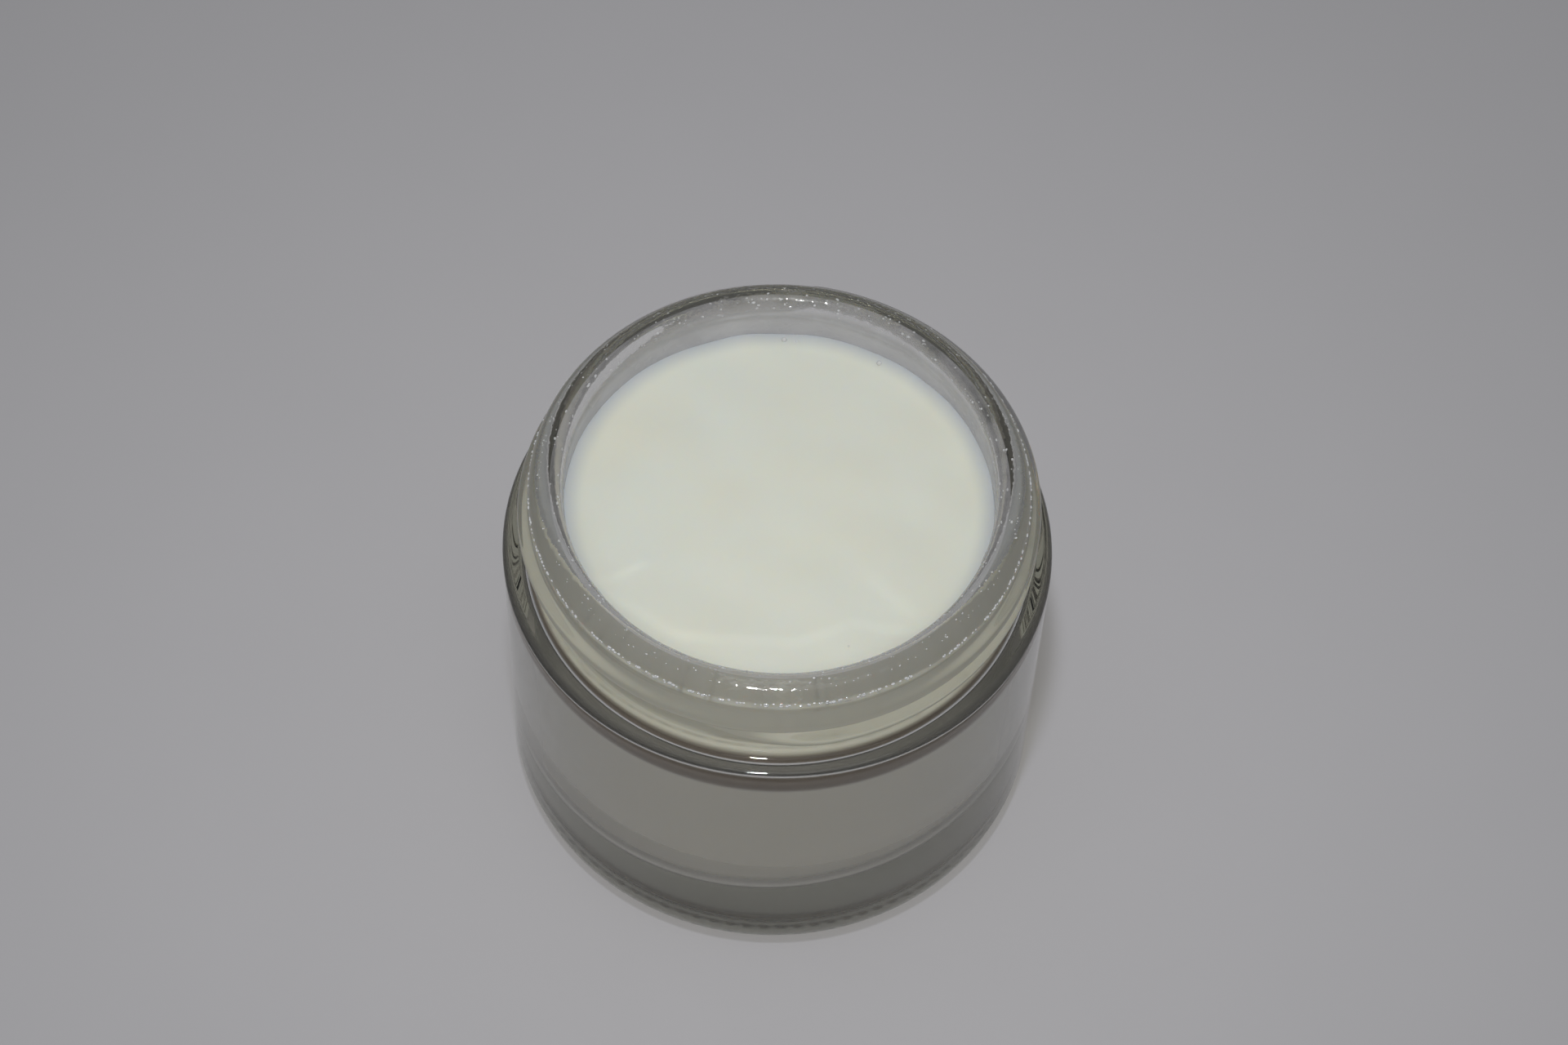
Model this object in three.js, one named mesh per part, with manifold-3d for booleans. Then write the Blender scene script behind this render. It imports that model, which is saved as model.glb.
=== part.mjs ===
// Cosmetic cream jar: a heavy-based clear glass jar with a threaded neck, and the cream it holds.
// Millimetres, +Z up. The origin is the centre of the base, on the surface that the jar stands on.
// The thread's front, where its last turn runs out, faces -Y.

import * as THREE from 'three';
import { mergeVertices } from 'three/addons/utils/BufferGeometryUtils.js';
import Module from 'manifold-3d';

// Body of the jar
const BODY_R = 30;            // outside radius of the round, upright wall
const JAR_HEIGHT = 51.5;      // base to sealing land
const SHOULDER_Z = 40.2;      // flat shoulder that the lid's skirt closes down to
const SHOULDER_ROUND = 1.0;   // small edge round of a pressed glass shoulder
const HEEL_ROUND = 4.8;       // round between the wall and the base

// Base: the jar bears on a flat ring, and the middle is pushed up
const PUSH_UP_R = 20;
const PUSH_UP_LIP = 0.5;      // radial width of the slope at the ring's inner edge
const PUSH_UP_EDGE_Z = 0.35;
const PUSH_UP_RISE = 0.9;     // clearance under the middle of the base

// Neck
const NECK_R = 26.9;
const NECK_FILLET = 1.3;      // concave round where the neck meets the shoulder
const LIP_OUTER_ROUND = 1.7;
const LIP_INNER_ROUND = 1.6;
const BORE_R = 23.2;

// Cavity
const CAVITY_R = 27;
const BORE_END_Z = 40.3;      // the bore starts to open out into the cavity here
const CAVITY_START_Z = 35.7;
const CAVITY_ROUND = 5;
const FLOOR_Z = 10.6;         // thickness of the heavy base

// Thread: one right-hand start with a half-round bead
const THREAD_BEAD_R = 1.15;
const THREAD_PROUD = 1.25;    // crest above the neck
const THREAD_PITCH = 3.175;
const THREAD_TURNS = 1.55;
const THREAD_START_Z = 48.4;  // crest height where the bead begins, at the back
const THREAD_RUN_OUT = 0.06;  // share of the length over which each end sinks into the neck
const THREAD_SINK = 1.6;      // how far the ends sink, so that they leave no stub

// Cream fill
const FILL_GAP = 0.3;         // clearance that keeps the two solids apart
const FILL_EDGE_Z = 45.6;     // level at the glass
const FILL_CROWN = 0.5;       // how much higher the middle stands
const FILL_EDGE_ROUND = 0.8;

// Facets
const AROUND = 80;
const ARC_STEPS = 5;
const CROWN_STEPS = 5;
const BORE_STEPS = 6;
const BEAD_SIDES = 10;
const BEAD_STEPS_PER_TURN = 40;

// Points of a circular arc from angle a0 to a1 in degrees, both ends included.
function arc(r, z, radius, a0, a1, steps = ARC_STEPS) {
  const points = [];
  for (let i = 0; i <= steps; i++) {
    const a = THREE.MathUtils.degToRad(a0 + (a1 - a0) * i / steps);
    points.push(new THREE.Vector2(r + radius * Math.cos(a), z + radius * Math.sin(a)));
  }
  return points;
}

// Half a cosine wave from (r0, z0) to (r1, z1): both ends run straight up and down.
function wallBlend(r0, z0, r1, z1) {
  const points = [];
  for (let i = 0; i <= BORE_STEPS; i++) {
    const t = i / BORE_STEPS;
    const r = r0 + (r1 - r0) * (1 - Math.cos(Math.PI * t)) / 2;
    points.push(new THREE.Vector2(r, z0 + (z1 - z0) * t));
  }
  return points;
}

// A parabola that meets the axis level at zAxis and reaches (r, zEdge), listed from the axis out.
function crown(zAxis, r, zEdge) {
  const points = [];
  for (let i = 0; i < CROWN_STEPS; i++) {
    const t = i / CROWN_STEPS;
    points.push(new THREE.Vector2(r * t, zAxis + (zEdge - zAxis) * t * t));
  }
  points.push(new THREE.Vector2(r, zEdge));
  return points;
}

// Turns a profile, listed anticlockwise in (radius, height), about Z.
function turned(profile) {
  return new THREE.LatheGeometry(profile, AROUND).rotateX(Math.PI / 2);
}

function jarProfile() {
  const landR = NECK_R - LIP_OUTER_ROUND;
  const landInnerR = BORE_R + LIP_INNER_ROUND;
  return [
    ...crown(PUSH_UP_RISE, PUSH_UP_R, PUSH_UP_EDGE_Z),
    new THREE.Vector2(PUSH_UP_R + PUSH_UP_LIP, 0),
    ...arc(BODY_R - HEEL_ROUND, HEEL_ROUND, HEEL_ROUND, -90, 0),
    ...arc(BODY_R - SHOULDER_ROUND, SHOULDER_Z - SHOULDER_ROUND, SHOULDER_ROUND, 0, 90),
    ...arc(NECK_R + NECK_FILLET, SHOULDER_Z + NECK_FILLET, NECK_FILLET, -90, -180, 3),
    ...arc(landR, JAR_HEIGHT - LIP_OUTER_ROUND, LIP_OUTER_ROUND, 0, 90),
    ...arc(landInnerR, JAR_HEIGHT - LIP_INNER_ROUND, LIP_INNER_ROUND, 90, 180),
    ...wallBlend(BORE_R, BORE_END_Z, CAVITY_R, CAVITY_START_Z),
    ...arc(CAVITY_R - CAVITY_ROUND, FLOOR_Z + CAVITY_ROUND, CAVITY_ROUND, 0, -90),
    new THREE.Vector2(0, FLOOR_Z),
  ];
}

// The line along the middle of the thread's bead: it starts at the back, goes clockwise seen
// from above and down, and dips under the neck's surface at both ends.
class ThreadLine extends THREE.Curve {
  getPoint(t, target = new THREE.Vector3()) {
    const end = Math.min(t, 1 - t) / THREAD_RUN_OUT;
    const dip = THREAD_SINK * (1 - THREE.MathUtils.smoothstep(end, 0, 1));
    const r = NECK_R + THREAD_PROUD - THREAD_BEAD_R - dip;
    const turn = THREAD_TURNS * t;
    const a = Math.PI / 2 - 2 * Math.PI * turn;
    return target.set(r * Math.cos(a), r * Math.sin(a), THREAD_START_Z - THREAD_PITCH * turn);
  }
}

function threadBead() {
  const section = new THREE.Shape();
  for (let i = 0; i < BEAD_SIDES; i++) {
    const a = 2 * Math.PI * i / BEAD_SIDES;
    const x = THREAD_BEAD_R * Math.cos(a);
    const y = THREAD_BEAD_R * Math.sin(a);
    if (i === 0) section.moveTo(x, y);
    else section.lineTo(x, y);
  }
  section.closePath();
  const steps = Math.round(THREAD_TURNS * BEAD_STEPS_PER_TURN);
  return new THREE.ExtrudeGeometry(section, { steps, extrudePath: new ThreadLine() });
}

const wasm = await Module();
wasm.setup();

// A closed three.js geometry as a manifold solid.
function toSolid(geometry) {
  const bare = geometry.clone();
  bare.deleteAttribute('normal');
  bare.deleteAttribute('uv');
  const merged = mergeVertices(bare, 1e-4);
  return new wasm.Manifold(new wasm.Mesh({
    numProp: 3,
    vertProperties: new Float32Array(merged.attributes.position.array),
    triVerts: new Uint32Array(merged.index.array),
  }));
}

function toGeometry(solid) {
  const mesh = solid.getMesh();
  const geometry = new THREE.BufferGeometry();
  geometry.setAttribute('position', new THREE.BufferAttribute(mesh.vertProperties, 3));
  geometry.setIndex(new THREE.BufferAttribute(mesh.triVerts, 1));
  geometry.computeVertexNormals();
  return geometry;
}

function glassJar() {
  const material = new THREE.MeshStandardMaterial({
    color: 0xdfe4e0, roughness: 0.04, metalness: 0, transparent: true, opacity: 0.35,
  });
  const solid = toSolid(turned(jarProfile())).add(toSolid(threadBead()));
  const mesh = new THREE.Mesh(toGeometry(solid), material);
  mesh.name = 'glass_jar';
  return mesh;
}

// The cream follows the cavity and the lower part of the bore, a clearance inside the glass.
function cream() {
  const material = new THREE.MeshStandardMaterial({ color: 0xf3f5e6, roughness: 0.45, metalness: 0 });
  const boreR = BORE_R - FILL_GAP;
  const cavityR = CAVITY_R - FILL_GAP;
  const floorZ = FLOOR_Z + FILL_GAP;
  const round = CAVITY_ROUND - FILL_GAP;
  const top = crown(FILL_EDGE_Z + FILL_CROWN, boreR - FILL_EDGE_ROUND, FILL_EDGE_Z).reverse();
  const profile = [
    new THREE.Vector2(0, floorZ),
    ...arc(cavityR - round, floorZ + round, round, -90, 0),
    ...wallBlend(cavityR, CAVITY_START_Z, boreR, BORE_END_Z),
    ...arc(boreR - FILL_EDGE_ROUND, FILL_EDGE_Z - FILL_EDGE_ROUND, FILL_EDGE_ROUND, 0, 90).slice(0, -1),
    ...top,
  ];
  const mesh = new THREE.Mesh(turned(profile), material);
  mesh.name = 'cream';
  return mesh;
}

const jarOfCream = new THREE.Group();
jarOfCream.add(glassJar(), cream());

export default jarOfCream;
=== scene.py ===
"""A cosmetic cream jar: thick pressed glass with a threaded neck, and the cream in it.

Each piece is a surface worked out from a few sizes, in metres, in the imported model's own frame.
"""
import math

import bpy
import numpy as np
from mathutils import Matrix, Vector


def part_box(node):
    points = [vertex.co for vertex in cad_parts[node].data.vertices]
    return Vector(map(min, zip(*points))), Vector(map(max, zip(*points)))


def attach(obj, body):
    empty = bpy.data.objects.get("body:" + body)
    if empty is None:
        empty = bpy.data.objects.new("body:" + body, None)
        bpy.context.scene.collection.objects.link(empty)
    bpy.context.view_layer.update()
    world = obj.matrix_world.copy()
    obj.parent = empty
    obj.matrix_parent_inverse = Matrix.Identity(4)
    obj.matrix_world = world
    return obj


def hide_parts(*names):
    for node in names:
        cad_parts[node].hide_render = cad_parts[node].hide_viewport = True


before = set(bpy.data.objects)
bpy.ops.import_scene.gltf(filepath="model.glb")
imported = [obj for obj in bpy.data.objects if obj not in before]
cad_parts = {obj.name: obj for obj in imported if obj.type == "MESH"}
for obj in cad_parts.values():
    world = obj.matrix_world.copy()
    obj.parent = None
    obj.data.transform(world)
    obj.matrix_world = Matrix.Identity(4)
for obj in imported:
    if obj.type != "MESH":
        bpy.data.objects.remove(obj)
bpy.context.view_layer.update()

bl_info = {
    "name": "Cosmetic Cream Jar",
    "version": (1, 0, 0),
    "blender": (4, 5, 0),
    "location": "View3D > Sidebar > Cream Jar",
    "description": "Builds an open glass cream jar, its cream and a small studio",
    "category": "Add Mesh",
}

MM = 0.001

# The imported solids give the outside, the cavity and the fill.
JAR_LOW, JAR_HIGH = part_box("glass_jar")
FILL_LOW, FILL_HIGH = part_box("cream")
CAD_CLEARANCE = 0.3 * MM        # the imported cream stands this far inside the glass
BODY_R = (JAR_HIGH.x - JAR_LOW.x) / 2
JAR_HEIGHT = JAR_HIGH.z
CAVITY_R = (FILL_HIGH.x - FILL_LOW.x) / 2 + CAD_CLEARANCE
FLOOR_Z = FILL_LOW.z - CAD_CLEARANCE
FILL_Z = FILL_HIGH.z

# Outside of the glass
SHOULDER_Z = JAR_HEIGHT - 11.3 * MM
SHOULDER_ROUND = 0.95 * MM
HEEL_ROUND = 4.8 * MM
NECK_R = 26.9 * MM
NECK_FILLET = 1.3 * MM
LIP_OUTER_ROUND = 1.95 * MM
LIP_INNER_ROUND = 1.7 * MM

# Inside of the glass
BORE_R = 23.2 * MM
BORE_END_Z = 40.3 * MM
CAVITY_START_Z = 35.7 * MM
CAVITY_ROUND = 5 * MM
FLOOR_TILT = 0.075              # the cavity's floor rises towards +X, as it does in pressed glass
TILT_FADE_LOW = 16 * MM         # the tilt fades out up the wall between these heights
TILT_FADE_HIGH = 34 * MM

# Base
PUSH_UP_R = 20 * MM
PUSH_UP_RISE = 0.9 * MM
PUSH_UP_EDGE_Z = 0.4 * MM
RING_R = 20.6 * MM
STIPPLE_HEIGHT = 0.2 * MM
STIPPLE_R = 22.8 * MM
STIPPLE_HALF_LENGTH = 1.0 * MM
STIPPLES = 88

# Thread
THREAD_PROUD = 1.25 * MM
THREAD_HALF_WIDTH = 1.5 * MM
THREAD_PITCH = 3.175 * MM
THREAD_TURNS = 1.55
THREAD_START_Z = 48.4 * MM
THREAD_START_FADE = 0.02        # turns over which the bead rises and sinks
THREAD_END_FADE = 0.09

# Unevenness of the pressed surface, as the spread of its ripples
LIP_RIPPLE = 0.018 * MM
WALL_RIPPLE = 0.015 * MM

# Grid
COLUMNS = STIPPLES * 4
POLE_R = 0.8 * MM               # innermost ring of the cavity's floor
TAU = 2 * math.pi


# ---------------------------------------------------------------- helpers

def smoothstep(low, high, x):
    """0 below low, 1 above high, and the cubic 3t^2 - 2t^3 between them."""
    t = np.clip((x - low) / (high - low), 0.0, 1.0)
    return t * t * (3 - 2 * t)


def around(columns=COLUMNS):
    """Angles of the columns of a turned surface, in radians."""
    return np.arange(columns) * TAU / columns


def arc(r, z, radius_r, radius_z, start, end, rows):
    """Rows along an ellipse's arc about (r, z), from start to end in degrees."""
    a = np.radians(np.linspace(start, end, rows + 1))
    return np.column_stack([r + radius_r * np.cos(a), z + radius_z * np.sin(a)])


def straight(r0, z0, r1, z1, rows):
    """Rows along a line, closer together at its ends: t = (1 - cos(pi u)) / 2."""
    t = (1 - np.cos(np.pi * np.linspace(0, 1, rows + 1))) / 2
    return np.column_stack([r0 + (r1 - r0) * t, z0 + (z1 - z0) * t])


def even(r0, z0, r1, z1, rows):
    """Evenly spaced rows along a line."""
    t = np.linspace(0, 1, rows + 1)
    return np.column_stack([r0 + (r1 - r0) * t, z0 + (z1 - z0) * t])


def wall_blend(r0, z0, r1, z1, rows):
    """Rows down an S-bend whose radius follows half a cosine wave over its height."""
    t = np.linspace(0, 1, rows + 1)
    return np.column_stack([r0 + (r1 - r0) * (1 - np.cos(np.pi * t)) / 2, z0 + (z1 - z0) * t])


def join(spans):
    """Joins named spans end to end, and says which rows each of them holds."""
    rows, where, count = [], {}, 0
    for name, span in spans:
        part = span if not rows else span[1:]
        rows.append(part)
        where[name] = slice(max(count - 1, 0), count + len(part))
        count += len(part)
    return np.concatenate(rows), where


def ripples(theta, lowest, highest, seed):
    """A closed wavy line of unit spread: cosines of whole numbers of waves round the ring."""
    random = np.random.default_rng(seed)
    waves = np.arange(lowest, highest + 1)
    phase = random.uniform(0, TAU, waves.size)
    size = random.normal(0, 1, waves.size)
    line = (size[:, None] * np.cos(waves[:, None] * theta[None, :] + phase[:, None])).sum(0)
    return line / line.std()


def mesh_object(name, points, faces):
    """A smooth-shaded mesh object at the origin from arrays of points and faces."""
    mesh = bpy.data.meshes.new(name)
    mesh.from_pydata(points.tolist(), [], faces)
    mesh.update()
    mesh.polygons.foreach_set("use_smooth", np.ones(len(mesh.polygons), bool))
    piece = bpy.data.objects.new(name, mesh)
    bpy.context.scene.collection.objects.link(piece)
    return piece


def turned_faces(rows, columns):
    """Faces of a turned surface whose first and last points are its poles."""
    ring = 1 + np.arange(rows * columns).reshape(rows, columns)
    turned = np.roll(ring, -1, axis=1)
    quads = np.stack([ring[:-1], turned[:-1], turned[1:], ring[1:]], -1).reshape(-1, 4)
    last = rows * columns + 1
    first_fan = np.column_stack([np.zeros(columns, int), turned[0], ring[0]])
    last_fan = np.column_stack([np.full(columns, last), ring[-1], turned[-1]])
    return quads.tolist() + first_fan.tolist() + last_fan.tolist()


def turned_object(name, x, y, z, pole_low, pole_high):
    """A closed surface from rows of points round Z and its two poles.

    The rows run from the lower pole, out and up the outside, and back to the upper pole.
    """
    rows, columns = x.shape
    ring = np.stack([x, y, z], -1).reshape(-1, 3)
    points = np.concatenate([[(0, 0, pole_low)], ring, [(0, 0, pole_high)]])
    return mesh_object(name, points, turned_faces(rows, columns))


# ---------------------------------------------------------------- glass

def glass_profile():
    """The jar's section from under the base, up the outside, over the lip and down the cavity."""
    ring_z = STIPPLE_HEIGHT
    heel_r = BODY_R - HEEL_ROUND
    shoulder_r = BODY_R - SHOULDER_ROUND
    fillet_r = NECK_R + NECK_FILLET
    lip_z = JAR_HEIGHT - LIP_OUTER_ROUND
    land_r = NECK_R - LIP_OUTER_ROUND
    inner_land_r = BORE_R + LIP_INNER_ROUND
    inner_lip_z = JAR_HEIGHT - LIP_INNER_ROUND
    corner_r = CAVITY_R - CAVITY_ROUND
    corner_z = FLOOR_Z + CAVITY_ROUND
    u = np.linspace(0.05, 1, 9)
    push_up = np.column_stack([PUSH_UP_R * u, PUSH_UP_RISE + (PUSH_UP_EDGE_Z - PUSH_UP_RISE) * u * u])
    return join([
        ("push_up", push_up),
        ("ring_edge", even(PUSH_UP_R, PUSH_UP_EDGE_Z, RING_R, ring_z, 2)),
        ("ring", even(RING_R, ring_z, heel_r, ring_z, 14)),
        ("heel", arc(heel_r, HEEL_ROUND, HEEL_ROUND, HEEL_ROUND - ring_z, -90, 0, 18)),
        ("wall", straight(BODY_R, HEEL_ROUND, BODY_R, SHOULDER_Z - SHOULDER_ROUND, 22)),
        ("shoulder_round", arc(shoulder_r, SHOULDER_Z - SHOULDER_ROUND,
                               SHOULDER_ROUND, SHOULDER_ROUND, 0, 90, 12)),
        ("shoulder", straight(shoulder_r, SHOULDER_Z, fillet_r, SHOULDER_Z, 5)),
        ("fillet", arc(fillet_r, SHOULDER_Z + NECK_FILLET, NECK_FILLET, NECK_FILLET, -90, -180, 6)),
        ("neck", even(NECK_R, SHOULDER_Z + NECK_FILLET, NECK_R, lip_z, 60)),
        ("outer_lip", arc(land_r, lip_z, LIP_OUTER_ROUND, LIP_OUTER_ROUND, 0, 90, 14)),
        ("land", even(land_r, JAR_HEIGHT, inner_land_r, JAR_HEIGHT, 2)),
        ("inner_lip", arc(inner_land_r, inner_lip_z, LIP_INNER_ROUND, LIP_INNER_ROUND, 90, 180, 14)),
        ("bore", straight(BORE_R, inner_lip_z, BORE_R, BORE_END_Z, 14)),
        ("bore_end", wall_blend(BORE_R, BORE_END_Z, CAVITY_R, CAVITY_START_Z, 14)),
        ("cavity", straight(CAVITY_R, CAVITY_START_Z, CAVITY_R, corner_z, 12)),
        ("corner", arc(corner_r, corner_z, CAVITY_ROUND, CAVITY_ROUND, 0, -90, 12)),
        ("floor", straight(corner_r, FLOOR_Z, POLE_R, FLOOR_Z, 10)),
    ])


def thread_height(theta, z):
    """How proud the thread stands on the neck at each column and height.

    The bead's middle falls by one pitch a turn, clockwise seen from above, from the back.
    Across it the height is (1 - |d / half width|^2.4)^1.5, and it fades at both ends.
    """
    total = np.zeros(z.shape)
    first_turn = np.mod((math.pi / 2 - theta) / TAU, 1.0)
    for lap in range(math.ceil(THREAD_TURNS)):
        turn = (first_turn + lap)[None, :]
        middle = THREAD_START_Z - THREAD_PITCH * turn
        across = np.clip(1 - np.abs((z - middle) / THREAD_HALF_WIDTH) ** 2.4, 0, 1) ** 1.5
        rise = smoothstep(0, THREAD_START_FADE, turn)
        fall = 1 - smoothstep(THREAD_TURNS - THREAD_END_FADE, THREAD_TURNS, turn)
        total += THREAD_PROUD * across * rise * fall
    return total


def stipple_depth(theta, r):
    """How far the base's stipples reach below its ring: rounded dots evenly spaced round it."""
    along = (0.5 + 0.5 * np.cos(STIPPLES * theta))[None, :]
    across = np.clip(1 - ((r - STIPPLE_R) / STIPPLE_HALF_LENGTH) ** 2, 0, 1)
    return STIPPLE_HEIGHT * along * across


def cavity_tilt(x, z):
    """The rise of the cavity's lower part: FLOOR_TILT times x, fading out up the wall."""
    return FLOOR_TILT * x * (1 - smoothstep(TILT_FADE_LOW, TILT_FADE_HIGH, z))


def glass_surface():
    """The jar's grid: its section turned about Z, with the thread, stipples, tilt and ripples."""
    section, where = glass_profile()
    theta = around()
    r = np.repeat(section[:, :1], COLUMNS, axis=1)
    z = np.repeat(section[:, 1:], COLUMNS, axis=1)
    neck = slice(where["fillet"].start, where["outer_lip"].stop)
    r[neck] += thread_height(theta, z[neck])
    ring = where["ring"]
    z[ring] -= stipple_depth(theta, r[ring])
    lip = slice(where["outer_lip"].start, where["inner_lip"].stop)
    fade = np.sin(np.linspace(0, math.pi, lip.stop - lip.start))[:, None]
    uneven = ripples(theta, 40, 160, 3)
    z[lip] += LIP_RIPPLE * fade * (uneven - uneven.max())[None, :]
    wall = where["wall"]
    swell = np.sin(np.linspace(0, math.pi, wall.stop - wall.start))[:, None]
    r[wall] += WALL_RIPPLE * swell * (ripples(theta, 2, 9, 4) - 3)[None, :]
    x, y = r * np.cos(theta), r * np.sin(theta)
    inside = slice(where["bore"].start, None)
    z[inside] += cavity_tilt(x[inside], z[inside])
    return x, y, z


# ---------------------------------------------------------------- cream

FILL_CROWN = 0.5 * MM           # how much higher the middle of the cream stands
FILL_EDGE_Z = FILL_Z - FILL_CROWN
WETTING = 0.03 * MM             # in the neck the cream reaches this far into the glass
SHRINKAGE = 0.08 * MM           # below it the cream has drawn back, and thin air shows
CREEP_BACK = 0.35 * MM          # how far the cream climbs the bore at the back
CREEP_FRONT = 1.45 * MM         # and at the front
CREEP_REACH = 2.0 * MM          # distance from the bore over which the climb dies away
CREEP_RIPPLE = 0.06 * MM
SKIN_STEP = 0.16 * MM           # the folded skin stands this much over the cream in front of it
SKIN_RIDGE = 0.03 * MM          # raised edge of the skin
SWELL_HEIGHT = 0.07 * MM
TOP_RINGS = 100
TOP_POLE_R = 0.25 * MM

# The front edge of the folded skin, from left to right: x and y in millimetres.
SKIN_EDGE = [(-24, -8.5), (-19.5, -10.8), (-14.8, -13.6), (-10.3, -16.5), (-4, -16.9),
             (2.2, -16.9), (5.7, -15.5), (8.2, -14.2), (11.5, -14.6), (16, -15), (24, -12)]


def fold(x, y, start, end, height, width, tail):
    """A fold along a line: a steep face of that width on its right, and a long slope behind.

    height * smoothstep across the line * exp(-distance / tail), fading past both ends.
    """
    a, b = np.array(start) * MM, np.array(end) * MM
    length = np.linalg.norm(b - a)
    along = (b - a) / length
    t = ((x - a[0]) * along[0] + (y - a[1]) * along[1]) / length
    side = -(x - a[0]) * along[1] + (y - a[1]) * along[0]
    ends = smoothstep(-0.25, 0.35, t) * (1 - smoothstep(0.9, 1.2, t))
    return height * MM * smoothstep(-width * MM, width * MM, side) * np.exp(
        -np.maximum(side, 0) / (tail * MM)) * ends


def swells(x, y, shortest, longest, count, seed):
    """Unit ripples over a plane: cosines with random directions, lengths and phases."""
    random = np.random.default_rng(seed)
    total = np.zeros(np.shape(x))
    for _ in range(count):
        angle = random.uniform(0, TAU)
        wave = TAU / (random.uniform(shortest, longest) * MM)
        total += np.cos(wave * (x * math.cos(angle) + y * math.sin(angle)) + random.uniform(0, TAU))
    return total / math.sqrt(count / 2)


def cream_relief(x, y):
    """Height of the cream's top over its flat level: crown, skin step, folds and swells."""
    edge = np.array(SKIN_EDGE) * MM
    front = y - np.interp(x, edge[:, 0], edge[:, 1])
    skin = SKIN_STEP * smoothstep(-0.9 * MM, 0.9 * MM, front)
    ridge = SKIN_RIDGE * np.exp(-((front - 0.8 * MM) / (0.9 * MM)) ** 2)
    right_fold = fold(x, y, (8.5, -7.0), (17.0, -15.0), 0.22, 1.1, 4.5)
    left_fold = fold(x, y, (-20.8, -11.8), (-14.0, -7.8), 0.28, 0.7, 3.0)
    return skin + ridge + right_fold + left_fold + SWELL_HEIGHT * swells(x, y, 7, 15, 14, 11)


def creep_level(sine):
    """The cream's even climb up the bore, from the sine of the place's azimuth: 1 is the back."""
    return CREEP_BACK + (CREEP_FRONT - CREEP_BACK) * np.sqrt((1 - sine) / 2)


def creep_height(theta):
    """How far the cream climbs the bore: its even climb with fine ripples."""
    return creep_level(np.sin(theta)) + CREEP_RIPPLE * ripples(theta, 4, 24, 9)


def cream_surface():
    """The fill's grid: floor, corner, wall and bore turned about Z, then the worked top.

    At the bore the top climbs by creep * exp(-(distance from the bore / reach)^2).
    """
    wall_r, bore_r = CAVITY_R - SHRINKAGE, BORE_R + WETTING
    corner_r, corner_z = CAVITY_R - CAVITY_ROUND, FLOOR_Z + CAVITY_ROUND
    round_r = CAVITY_ROUND - SHRINKAGE
    side, where = join([
        ("floor", straight(POLE_R, FLOOR_Z + SHRINKAGE, corner_r, FLOOR_Z + SHRINKAGE, 10)),
        ("corner", arc(corner_r, corner_z, round_r, round_r, -90, 0, 12)),
        ("wall", straight(wall_r, corner_z, wall_r, CAVITY_START_Z - SHRINKAGE, 12)),
        ("bore_end", wall_blend(wall_r, CAVITY_START_Z - SHRINKAGE, bore_r, BORE_END_Z, 14)),
        ("bore", even(bore_r, BORE_END_Z, bore_r, FILL_EDGE_Z, 10)),
    ])
    inward = np.linspace(0, 1, TOP_RINGS + 1)[1:] ** 1.35
    top = np.column_stack([bore_r + (TOP_POLE_R - bore_r) * inward, np.full(TOP_RINGS, FILL_EDGE_Z)])
    theta = around()
    r = np.repeat(np.concatenate([side[:, :1], top[:, :1]]), COLUMNS, axis=1)
    z = np.repeat(np.concatenate([side[:, 1:], top[:, 1:]]), COLUMNS, axis=1)
    x, y = r * np.cos(theta), r * np.sin(theta)
    top_row = len(side)
    z[:top_row] += cavity_tilt(x[:top_row], z[:top_row])
    creep = creep_height(theta)
    climbed = smoothstep(BORE_END_Z, FILL_EDGE_Z, z[where["bore"]])
    z[where["bore"]] += creep * climbed
    over_r, over_x, over_y = r[top_row:], x[top_row:], y[top_row:]
    held = 1 - smoothstep(0.86, 0.99, over_r / bore_r)
    crown = FILL_CROWN * (1 - (over_r / bore_r) ** 2)
    z[top_row:] += creep * np.exp(-((bore_r - over_r) / CREEP_REACH) ** 2)
    z[top_row:] += cream_relief(over_x, over_y) * held + crown
    return x, y, z, top_row


# ---------------------------------------------------------------- residue

SMEAR_UNDER = 0.05 * MM         # the smear of cream reaches this far into the glass
SMEAR_OVER = 0.05 * MM          # and stands this far proud of it
SMEAR_END = 78                  # degrees round the inner lip where it ends
SMEAR_OVERLAP = 0.15 * MM       # how far it starts below the cream's edge
SMEAR_ROWS = 22

# Bubbles on the cream: x, y and radius in millimetres.
BUBBLES = [(-0.2, 22.4, 0.30), (10.4, 19.6, 0.30), (1.2, 22.2, 0.16), (7.9, -16.9, 0.13),
           (-10.2, -20.0, 0.13)]

BEAD_SIDES = 8
BEAD_RINGS = 3
BEAD_FLATNESS = 7               # how many times wider than thick
BEAD_HEADROOM = 0.25 * MM       # the beads' middles stay this far under the lip's top

# The beads are a stand-in for an uneven, glinting lip: their number, places and lean are chosen,
# and the first row leans so that it catches a high light in front of the jar.
# Rows of flat beads round the lip: place across the lip and its scatter, lean from the lip's own
# surface and its scatter in degrees, least and greatest radius in millimetres, count.
BEAD_ROWS = [
    (0.15, 0.05, 50, 8, 0.08, 0.17, 420),
    (0.76, 0.07, 0, 9, 0.04, 0.09, 160),
    (1.45, 0.50, 0, 16, 0.06, 0.14, 300),
]


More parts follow.
